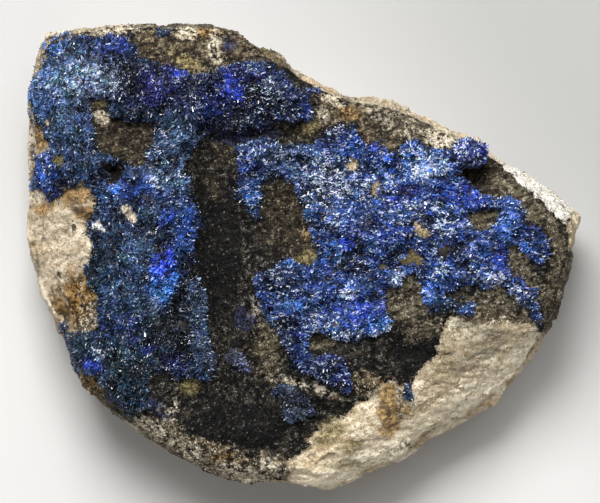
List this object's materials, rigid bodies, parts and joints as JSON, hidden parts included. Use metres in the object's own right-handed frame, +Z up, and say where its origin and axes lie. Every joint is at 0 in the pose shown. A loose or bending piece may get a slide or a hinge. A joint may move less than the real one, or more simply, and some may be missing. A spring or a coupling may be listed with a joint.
{
  "type": "linarite mineral specimen",
  "caption": "Broken slab of pale rock with a dark coated face and crusts of fine deep blue linarite crystals, lying flat on its back to be shown from above.",
  "frame": {"origin": "middle of the slab's footprint, on the surface that its back rests on", "axes": "+X along the slab's length, towards its pointed right end; +Y towards its straight top rim; +Z up, out of the coated face"},
  "size_m": [0.1, 0.0845, 0.0293],
  "materials": {
    "matrix_rock": "matte",
    "linarite_deep_blue": "gloss",
    "linarite_slate_blue": "satin"
  },
  "bodies": {
    "root": {"matrix_rock": "matrix_rock", "linarite_crust_left": "linarite_deep_blue", "linarite_crust_right": "linarite_deep_blue", "linarite_patch_rim": "linarite_deep_blue", "linarite_patch_valley": "linarite_slate_blue", "linarite_patch_foot": "linarite_slate_blue", "linarite_patch_break": "linarite_slate_blue"}
  },
  "joints": []
}
